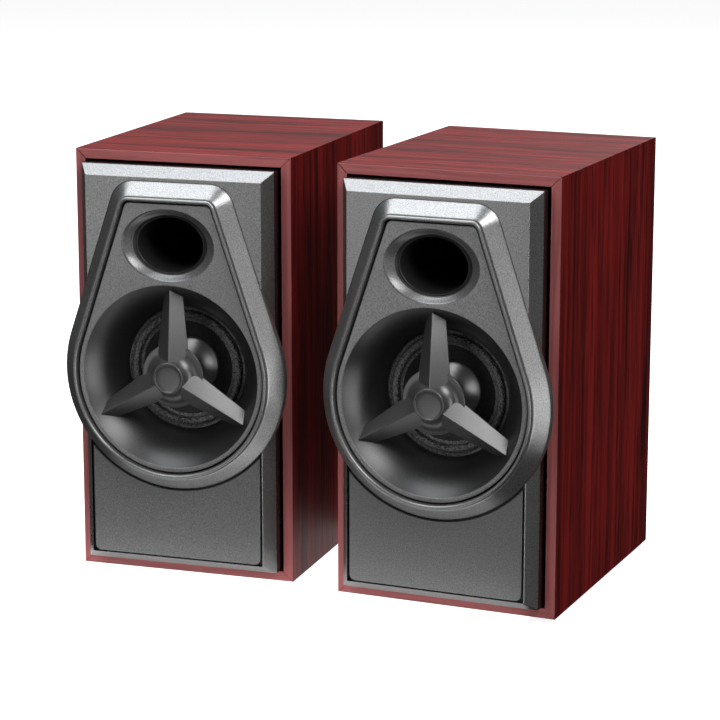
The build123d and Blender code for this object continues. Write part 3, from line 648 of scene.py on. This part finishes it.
def below_drop(grow, half, bottom):
    """Outline of the area under the drop, between two upright sides, closed by bottom's points."""
    arch = sorted((x, z) for x, _, z in drop_ring(grow, 0) if z < DROP_Z and abs(x) < half)
    shoulder = DROP_Z - math.sqrt((DROP_R + grow) ** 2 - half**2)
    return [(-half, shoulder)] + arch + [(half, shoulder)] + bottom


def flat_piece(name, side, outlines, front, back, rounding, look, replaces=()):
    """A flat plate whose normals stay true up to its rounded edges."""
    mesh = fill_plate(name, side, outlines, front, back, rounding)
    piece = place_piece(name, mesh, look, f"{side}_speaker", replaces)
    true_normals(piece)


def make_border(side):
    """The front panel's bevelled border, from its side wall over the crest to the face."""
    profile = [(0.0, 12.0), (0.0, -4.75), (-0.03, -4.92), (-0.1, -5.12), (-0.2, -5.3)]
    profile += [(-3.3, -9.92), (-3.42, -10.08), (-3.52, -10.17), (-3.62, FACE_Y), (-BEVEL_IN, FACE_Y)]
    profile += [(-3.67, FACE_Y + 0.04), (-3.67, -6.6), (-2.5, -6.0), (-2.5, 12.0)]
    points, faces = loft([panel_ring(grow, y) for grow, y in profile], loop=True)
    border = build(f"{side}_panel_border", side, points, faces, "panel_plastic", f"{side}_speaker",
                   [f"{side}_front_panel"])
    true_normals(border)


def make_panel(side):
    """The face above the drop, the groove's floor below it, and the lower insert on that floor."""
    top = HEIGHT - PANEL_LOW - BEVEL_IN
    over = [(x, z) for x, _, z in drop_ring(FACE_CLEAR, 0) if z > 108.0 and abs(x) < FACE_HALF]
    face = [(FACE_HALF, FACE_LOW)] + over + [(-FACE_HALF, FACE_LOW), (-FACE_HALF, top), (FACE_HALF, top)]
    flat_piece(f"{side}_panel_face", side, [face], FACE_Y, FACE_Y + 2.0, 0.0, "panel_plastic")
    floor_low = PANEL_LOW + 3.6
    floor = below_drop(FLOOR_CLEAR, FACE_HALF, [(FACE_HALF, floor_low), (-FACE_HALF, floor_low)])
    flat_piece(f"{side}_panel_groove", side, [floor], RECESS_Y, RECESS_Y + 1.0, 0.0, "port_plastic")
    half, low = INSERT_HALF - INSERT_EDGE, INSERT_LOW + INSERT_EDGE
    bottom = rounded_corner(half, low, INSERT_CORNER, 270)[::-1]
    bottom += rounded_corner(-half, low, INSERT_CORNER, 180)[::-1]
    insert = below_drop(INSERT_CLEAR + INSERT_EDGE, half, bottom)
    flat_piece(f"{side}_insert_plate", side, [insert], FACE_Y, RECESS_Y, INSERT_EDGE, "insert_plastic",
               [f"{side}_lower_insert"])


# ---------------------------------------------------------------- horn, port and plug
MOUTH_R = 33.2
THROAT = (22.5, 2.0)
PLATE_Y = -14.6
HORN_ARC = ((MOUTH_R, PLATE_Y + 0.3), (26.8, -6.9), THROAT)
HORN_BACK_ARC = ((26.0, -1.6), (28.4, -5.8), (34.4, -12.9))
# Half width and half height where the flare meets the plate, and the same with a depth where
# its paint ends and the black painted shade going into the hole begins.
PORT_CREST = (17.4, 12.9)
SHADE_EDGE = (14.5, 11.0, -12.4)
# Half width, half height and depth: the flare, the bead, the tube's bore, then back outside it.
PORT_PROFILE = ((*PORT_CREST, PLATE_Y), (17.25, 12.78, -14.56), (17.0, 12.6, -14.42), (16.6, 12.35, -14.12),
                (15.8, 11.85, -13.5), (15.0, 11.35, -12.95), (14.2, 10.85, -12.48), (13.6, 10.5, -12.18),
                (13.2, 10.3, -12.0), (13.05, 10.22, -12.14), (12.85, 10.1, -12.3), (12.62, 9.97, -12.26),
                (12.45, 9.87, -12.0), (12.3, 9.77, -11.0), (12.1, 9.65, -4.0), (12.0, 9.6, 44.4),
                (12.2, 9.8, 45.0), (13.0, 10.6, 45.0), (13.2, 10.8, 44.6), (13.2, 10.8, -4.0),
                (14.3, 11.5, -10.5), (*PORT_CREST, -12.8))


def ellipse_ring(half_x, half_z, y, count=128):
    """An ellipse of points about the port's axis."""
    turns = [2 * math.pi * step / count for step in range(count)]
    return [(half_x * math.cos(t), y, PORT_Z + half_z * math.sin(t)) for t in turns]


def make_horn(side):
    """The plate inside the bezel with its two holes, and the horn that narrows to the driver."""
    body, slot = f"{side}_speaker", "horn_plastic"
    rounding = 0.25
    outer = [(x, z) for x, _, z in drop_ring(-1.2 - rounding, 0)]
    mouth = [(x, z) for x, _, z in circle_ring(MOUTH_R + rounding, 0)]
    port = [(x, z) for x, _, z in ellipse_ring(PORT_CREST[0] + rounding, PORT_CREST[1] + rounding, 0)]
    mesh = fill_plate("plate", side, [outer, mouth, port], PLATE_Y, PLATE_Y + 2.0, rounding)
    face = place_piece(f"{side}_horn_face", mesh, "horn_plastic", body, [f"{side}_horn_plate"])
    true_normals(face)
    profile = arc(*HORN_ARC, 28)
    profile += [THROAT, (31.5, 2.0), (31.5, -1.2), (26.2, -1.2)]
    profile += arc(*HORN_BACK_ARC, 20) + [(34.6, -13.8), (34.2, -14.3)]
    points, faces = turned(profile, loop=True)
    build(f"{side}_horn_flare", side, points, faces, "horn_inside_shaded", body, sharp=40.0)
    skirt = [(-1.2, -12.6), (-1.2, -7.6), (-3.0, -7.6), (-3.0, -12.6)]
    points, faces = loft([drop_ring(grow, y) for grow, y in skirt], loop=True)
    build(f"{side}_horn_skirt", side, points, faces, "horn_plastic", body)


def make_port(side):
    """Softly flared lip, a fine bead at the hole's edge, and the tube behind it."""
    points, faces = loft([ellipse_ring(*section) for section in PORT_PROFILE], loop=True)
    piece = build(f"{side}_port_flare", side, points, faces, "port_plastic", f"{side}_speaker",
                  [f"{side}_port_tube"], 60.0)
    # The outer half of the flare is painted like the plate it meets; the rest stays black, as painted shade going
    # into the hole.
    piece.data.materials.append(LOOKS["horn_plastic"])
    inverse = PLACE[side].inverted()
    half_x, half_z, depth = SHADE_EDGE
    for face in piece.data.polygons:
        centre = inverse @ face.center
        outside = (centre.x / half_x) ** 2 + ((centre.z - PORT_Z) / half_z) ** 2 > 1.0
        if centre.y < depth and outside:
            face.material_index = 1


BLADE_TURNS = (90, 210, 330)
BLADE_START, BLADE_END, BLADE_STEPS = 3.0, 33.0, 16
# Half width at the axis and its loss for each millimetre outward, and how much the blade sinks.
BLADE_HALF, BLADE_TAPER, BLADE_SINK = 6.9, 0.118, 0.0944
# Radius and depth of a point on the line that the blades' ends follow, and the line's slope.
BLADE_REACH, BLADE_REACH_Y, BLADE_LEAN = 31.6, -13.3, 0.77


def blade_rings(angle):
    """Sections of one roof-shaped blade, each a small closed outline, from hub to tip."""
    across = Vector((-math.sin(angle), 0, math.cos(angle)))
    outward = Vector((math.cos(angle), 0, math.sin(angle)))
    centre = Vector((0, 0, DRIVER_Z))
    rings = []
    for step in range(BLADE_STEPS + 1):
        radius = BLADE_START + (BLADE_END - BLADE_START) * step / BLADE_STEPS
        half = BLADE_HALF - BLADE_TAPER * radius
        foot = -11.6 + BLADE_SINK * (radius - 9.4)
        ridge = -15.7 + BLADE_SINK * (radius - 6.0)
        section = [(-half, foot + 0.7), (-half, foot + 0.12), (-half + 0.12, foot), (-0.30, ridge + 0.24),
                   (-0.10, ridge + 0.04), (0.10, ridge + 0.04), (0.30, ridge + 0.24), (half - 0.12, foot),
                   (half, foot + 0.12), (half, foot + 0.7)]
        ring = []
        for x, y in section:
            # The end of a blade leans back with the horn's wall.
            trim = min(0.0, BLADE_REACH - BLADE_LEAN * (y - BLADE_REACH_Y) - radius)
            ring.append(tuple(centre + outward * (radius + trim) + across * x + Vector((0, y, 0))))
        rings.append(ring)
    return rings


def make_plug(side):
    """Phase plug: dished hub on a bell, and three blades that reach the horn's wall."""
    body, slot = f"{side}_speaker", "plug_plastic"
    profile = [(0.0, -16.02), (2.0, -16.04), (3.6, -16.1), (4.6, -16.2), (4.95, -16.3), (5.05, -16.45)]
    profile += [(5.2, -16.5), (5.45, -16.5), (5.62, -16.42), (5.72, -16.2)]
    profile += arc((5.8, -15.9), (7.5, -13.2), (11.2, -11.9), 16)
    profile += [(11.45, -11.84), (11.6, -11.7), (11.6, -11.0), (11.4, -10.7), (9.0, -10.6), (0.0, -10.6)]
    points, faces = turned(profile)
    build(f"{side}_plug_hub", side, points, faces, "plug_plastic", body,
          [f"{side}_phase_plug"], 50.0)
    for number, degrees in enumerate(BLADE_TURNS, start=1):
        rings = blade_rings(math.radians(degrees))
        points, faces = loft(rings)
        count = len(rings[0])
        last = len(points) - count
        faces.append(tuple(range(count)))
        faces.append(tuple(range(last + count - 1, last - 1, -1)))
        build(f"{side}_plug_blade_{number}", side, points, faces, "plug_plastic", body, sharp=20.0)


# ---------------------------------------------------------------- driver
def flex_to_cone(piece, side, inner, outer):
    """Bakes the piece's transform and works out each point's share from the inner radius (the cone's) to the outer
    one (the speaker's); nothing uses that share.
    """
    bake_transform(piece)
    inverse = PLACE[side].inverted()
    for vertex in piece.data.vertices:
        place = inverse @ vertex.co
        share = (math.hypot(place.x, place.z - DRIVER_Z) - inner) / (outer - inner)
        share = min(1.0, max(0.0, share))


def rough_profile(profile, amount, seed):
    """Rings for a turned profile whose points are pushed about a little, as foam is."""
    dice = random.Random(seed)
    rings = []
    for radius, y in profile:
        ring = []
        for x, depth, z in circle_ring(radius, y, count=180):
            scale = (radius + amount * (dice.random() - 0.5)) / radius
            push = amount * (dice.random() - 0.5)
            ring.append((x * scale, depth + push, DRIVER_Z + (z - DRIVER_Z) * scale))
        rings.append(ring)
    return rings


ROLL = ((21.4, 2.75), (19.8, 1.15), (18.2, 2.75))


def make_surround(side):
    """Half-round foam roll, rough in front and smooth behind."""
    front = [(24.6, 2.85)] + arc(*ROLL, 14) + [(17.2, 2.95)]
    back = [(17.2, 3.15), (18.35, 3.15), (19.8, 1.6), (21.2, 3.15), (24.6, 3.15)]
    points, faces = loft(rough_profile(front, 0.16, 7) + rough_profile(back, 0.02, 8), loop=True)
    roll = build(f"{side}_surround_roll", side, points, faces, "surround_foam", None,
                 [f"{side}_surround"], 70.0)
    flex_to_cone(roll, side, 18.3, 21.3)


def make_spider(side):
    """Waved cloth disc that centres the coil."""
    steps, waves, thick = 64, 4, 0.5
    disc = [(6.75, 12.5)]
    for step in range(steps + 1):
        wave = math.cos(2 * math.pi * waves * step / steps)
        disc.append((8.0 + 7.0 * step / steps, 12.0 + 0.5 * wave))
    disc.append((18.4, 12.5))
    disc += [(radius, y + thick) for radius, y in reversed(disc)]
    points, faces = turned(disc, loop=True)
    cloth = build(f"{side}_spider_disc", side, points, faces, "spider_cloth", None,
                  [f"{side}_spider"], 60.0)
    flex_to_cone(cloth, side, 9.0, 15.0)


CONE_R, CONE_Y = 17.0, 3.3
CONE_NECK = 6.7
CONE_SLOPE = 7.0 / 10.4
CONE_STEPS = 26


def cone_depth(radius):
    """Depth of the cone's front face."""
    return CONE_Y + (CONE_R - radius) * CONE_SLOPE


def make_cone(side):
    """Paper cone with fine ribs, and its edge that the surround is glued to."""
    profile = [(17.9, 3.24), (CONE_R, CONE_Y)]
    for step in range(1, CONE_STEPS):
        radius = CONE_R - (CONE_R - CONE_NECK) * step / CONE_STEPS
        rib = 0.10 if step % 4 == 0 and radius > 11.5 else 0.0
        profile.append((radius, cone_depth(radius) - rib))
    profile += [(CONE_NECK, 10.2), (CONE_NECK, 10.75), (17.1, 3.75), (17.9, 3.75)]
    points, faces = turned(profile, loop=True)
    build(f"{side}_cone_body", side, points, faces, "cone_paper", f"{side}_cone",
          [f"{side}_cone"], 60.0)


DOME = ((0.35, 4.4), (5.6, 5.28), (9.9, 7.2))


def make_dome(side):
    """Metallic dust cap, glued to the cone."""
    edge = cone_depth(10.3)
    crown = arc(*DOME, 22)
    outer = [(0.0, 4.4)] + crown[1:] + [(10.15, 7.4), (10.3, edge - 0.02), (10.1, edge + 0.12)]
    outer.append((9.7, edge - 0.1))
    lining = [(radius * 0.955, y + 0.45) for radius, y in arc(*DOME[::-1], 10)]
    points, faces = turned(outer + lining[1:-1] + [(0.0, 4.85)])
    build(f"{side}_dome", side, points, faces, "cap_metal", f"{side}_cone",
          [f"{side}_dust_cap"], 60.0)


# ---------------------------------------------------------------- fasteners and back
HEAD_R = 2.4
HEAD_HIGH = 1.6
CROSS_LONG, CROSS_WIDE, CROSS_TAPER = 2.3, 0.5, 0.6


def cross_cutter(length, width):
    """One arm of the recess: a bar that narrows toward its floor."""
    mesh = bpy.data.meshes.new("cutter")
    work = bmesh.new()
    bmesh.ops.create_cube(work, size=1.0)
    bmesh.ops.scale(work, verts=work.verts, vec=(length, 1.6, width))
    bmesh.ops.translate(work, verts=work.verts, vec=(0, HEAD_HIGH - 0.05, 0))
    for vert in work.verts:
        if vert.co.y < HEAD_HIGH - 0.5:
            vert.co.x *= CROSS_TAPER
            vert.co.z *= CROSS_TAPER
    work.to_mesh(mesh)
    work.free()
    cutter = bpy.data.objects.new("cutter", mesh)
    bpy.context.scene.collection.objects.link(cutter)
    return cutter


def cut_away(solid, cutter):
    """Takes the cutter's volume out of the solid, and removes the cutter."""
    cut = solid.modifiers.new("cut", "BOOLEAN")
    cut.operation = "DIFFERENCE"
    cut.solver = "EXACT"
    cut.object = cutter
    depsgraph = bpy.context.evaluated_depsgraph_get()
    result = bpy.data.meshes.new_from_object(solid.evaluated_get(depsgraph))
    solid.modifiers.clear()
    solid.data = result
    bpy.data.objects.remove(cutter)


def screw_head():
    """Pan head with a cross recess, pointing along +y from y = 0, and its shank behind it."""
    profile = [(0.0, HEAD_HIGH), (0.9, HEAD_HIGH - 0.02), (1.6, HEAD_HIGH - 0.14), (2.1, HEAD_HIGH - 0.45),
               (2.33, HEAD_HIGH - 0.85), (HEAD_R, 0.35), (2.36, 0.0), (1.2, 0.0), (1.2, -5.0), (0.0, -5.4)]
    points, faces = loft([circle_ring(radius, y, (0.0, 0.0), 48) for radius, y in profile])
    mesh = bpy.data.meshes.new("screw")
    mesh.from_pydata(points, [], faces)
    finish_mesh(mesh, SHARP)
    head = bpy.data.objects.new("screw", mesh)
    bpy.context.scene.collection.objects.link(head)
    cut_away(head, cross_cutter(CROSS_LONG, CROSS_WIDE))
    cut_away(head, cross_cutter(CROSS_WIDE, CROSS_LONG))
    result = head.data
    bpy.data.objects.remove(head)
    return [tuple(v.co) for v in result.vertices], [tuple(f.vertices) for f in result.polygons]


SCREW_POINTS, SCREW_FACES = screw_head()
CONNECTOR_Y = DEPTH + 1.5
CONNECTOR_Z = 45.0
DRIVER_SCREW_R, DRIVER_FLANGE_Y = 28.5, 4.4
BACK_SPOTS = [(x, DEPTH, z) for x in (-34.5, 34.5) for z in (30.0, 125.0)]
CONNECTOR_SPOTS = [(x, CONNECTOR_Y, CONNECTOR_Z + z) for x in (-25.5, 25.5) for z in (-20.5, 20.5)]
DRIVER_SPOTS = [(DRIVER_SCREW_R * math.cos(math.radians(angle)), DRIVER_FLANGE_Y,
                 DRIVER_Z + DRIVER_SCREW_R * math.sin(math.radians(angle)))
                for angle in (45, 135, 225, 315)]


def make_screws(side):
    """All of a speaker's screws, each turned a little differently."""
    dice = random.Random(11)
    points, faces = [], []
    spots = BACK_SPOTS + DRIVER_SPOTS + (CONNECTOR_SPOTS if side == "right" else [])
    for x, y, z in spots:
        turn = Matrix.Rotation(dice.random() * math.pi, 4, "Y")
        start = len(points)
        points += [tuple(Vector((x, y, z)) + turn @ Vector(point)) for point in SCREW_POINTS]
        faces += [tuple(start + index for index in face) for face in SCREW_FACES]
    build(f"{side}_screw_set", side, points, faces, "screw_steel", f"{side}_speaker",
          [f"{side}_screws"], 35.0)


KNOB_X = -13.0
KNOB = (KNOB_X, CONNECTOR_Z)
KNOB_FRONT, KNOB_BACK = DEPTH + 2.6, DEPTH + 12.6
KNOB_POINTS, FLUTES, FLUTE_DEPTH = 192, 24, 0.45


def fluted_ring(radius, y):
    """The knob's outline with its soft flutes."""
    ring = []
    for step in range(KNOB_POINTS):
        angle = 2 * math.pi * step / KNOB_POINTS
        inset = radius - FLUTE_DEPTH * max(0.0, math.cos(FLUTES * angle)) ** 2
        ring.append((KNOB[0] + inset * math.cos(angle), y, KNOB[1] + inset * math.sin(angle)))
    return ring


def make_knob():
    """Volume knob with soft flutes and a white pointer line."""
    front, back = KNOB_FRONT, KNOB_BACK
    profile = [(0.0, front), (6.6, front), (7.3, front + 0.2), (7.48, front + 0.6), (7.48, back - 1.6),
               (7.2, back - 0.7), (6.6, back - 0.15), (5.9, back - 0.02), (5.5, back - 0.25),
               (3.0, back - 0.42), (0.0, back - 0.45)]
    rings = []
    for radius, y in profile:
        rings.append(fluted_ring(radius, y) if radius > 6.9 else circle_ring(radius, y, KNOB, KNOB_POINTS))
    points, faces = loft(rings)
    build("knob_cap", "right", points, faces, "knob_plastic", "volume_knob",
          ["right_volume_knob"], 40.0)
    points, faces = slab((KNOB[0], KNOB[1] + 3.6), (1.0, 4.6), back - 0.5, back - 0.12)
    build("knob_pointer", "right", points, faces, "mark_paint", "volume_knob")


SCALE_R = 10.2
SCALE_MARKS, SCALE_START, SCALE_STEP = 11, 240.0, 30.0


def make_scale():
    """Printed marks round the knob, longer at the ends and in the middle."""
    points, faces = [], []
    for step in range(SCALE_MARKS):
        angle = math.radians(SCALE_START - SCALE_STEP * step)
        size = (0.5, 1.7) if step % 5 else (0.8, 2.3)
        marks, sides = slab((0, SCALE_R), size, CONNECTOR_Y - 0.05, CONNECTOR_Y + 0.04)
        turn = Matrix.Rotation(math.pi / 2 - angle, 4, "Y")
        start = len(points)
        for mark in marks:
            spun = turn @ Vector((mark[0], 0, mark[2]))
            points.append((KNOB[0] + spun.x, mark[1], KNOB[1] + spun.z))
        faces += [tuple(start + index for index in face) for face in sides]
    build("volume_scale", "right", points, faces, "mark_paint", "right_speaker")


def slab(centre, size, front, back, rounding=0.15):
    """A small flat block with rounded edges at its back face: points and faces."""
    rings = []
    for y, shrink in ((front, 0.0), (back - rounding * 0.3, 0.0), (back, rounding)):
        half_x, half_z = size[0] / 2 - shrink, size[1] / 2 - shrink
        corners = ((-half_x, -half_z), (half_x, -half_z), (half_x, half_z), (-half_x, half_z))
        rings.append([(centre[0] + x, y, centre[1] + z) for x, z in corners])
    points, faces = loft(rings)
    faces += [(3, 2, 1, 0), (8, 9, 10, 11)]
    return points, faces


JACKS = {"right": [(4.0, 51.0), (15.0, 51.0)], "left": [(0.0, CONNECTOR_Z)]}
KNURL = 0.965


def knurled(ring, centre):
    """The ring with every second pair of points drawn in toward the centre."""
    points = []
    for step, (x, y, z) in enumerate(ring):
        scale = KNURL if step % 4 < 2 else 1.0
        points.append((centre[0] + (x - centre[0]) * scale, y, centre[1] + (z - centre[1]) * scale))
    return points


def make_jacks(side):
    """A knurled plated nut round each socket's barrel."""
    seat = CONNECTOR_Y if side == "right" else DEPTH + 1.0
    profile = [(3.02, seat), (4.3, seat), (4.45, seat + 0.2), (4.45, seat + 0.9), (4.2, seat + 1.15),
               (3.3, seat + 1.2), (3.02, seat + 1.05)]
    for number, spot in enumerate(JACKS[side], start=1):
        rings = []
        for radius, y in profile:
            ring = circle_ring(radius, y, spot, 96)
            rings.append(knurled(ring, spot) if radius > 4.25 else ring)
        points, faces = loft(rings, loop=True)
        build(f"{side}_jack_nut_{number}", side, points, faces, "pot_metal", f"{side}_speaker",
              sharp=25.0)


# ---------------------------------------------------------------- CAD nodes that stay
# Edge rounding in millimetres.
SOFTENED = {"cabinet_top": 0.3, "cabinet_bottom": 0.3, "cabinet_left_side": 0.3, "cabinet_right_side": 0.3,
            "connector_plate": 0.25, "feet": 0.3, "power_gland": 0.15, "jack_sockets": 0.12,
            "input_socket": 0.12}


def soften(piece, width):
    """Rounds the edges of a CAD node's own mesh."""
    weld = piece.modifiers.new("weld", "WELD")
    weld.merge_threshold = 2e-6
    bevel = piece.modifiers.new("soft_edges", "BEVEL")
    bevel.width = width * MM
    bevel.segments = 2
    bevel.limit_method = "ANGLE"
    bevel.angle_limit = math.radians(30)
    true_normals(piece)


def dress_cad_nodes():
    """Gives every CAD node its finish, and softens the edges of those that show."""
    slots = {entry["node"]: entry["material_slot"] for entry in frame["record"]["subparts"]}
    for node, piece in frame["nodes"].items():
        side, part = node.split("_", 1)
        if part in GRAIN_ALONG:
            look = WOOD[(side, GRAIN_ALONG[part])]
        else:
            look = LOOKS[slots[node]]
        if not piece.material_slots:
            piece.data.materials.append(look)
        for material_slot in piece.material_slots:
            material_slot.material = look
        if part in SOFTENED:
            soften(piece, SOFTENED[part])


# ---------------------------------------------------------------- the scene
make_camera()
for name, light in LIGHTS.items():
    area_light(name, *light)
make_world()
make_floor()
dress_cad_nodes()
for side in SIDES:
    make_border(side)
    make_panel(side)
    make_bezel(side)
    make_horn(side)
    make_port(side)
    make_plug(side)
    make_surround(side)
    make_spider(side)
    make_cone(side)
    make_dome(side)
    make_screws(side)
    make_jacks(side)
make_knob()
make_scale()
bpy.context.scene.view_settings.view_transform = "Standard"
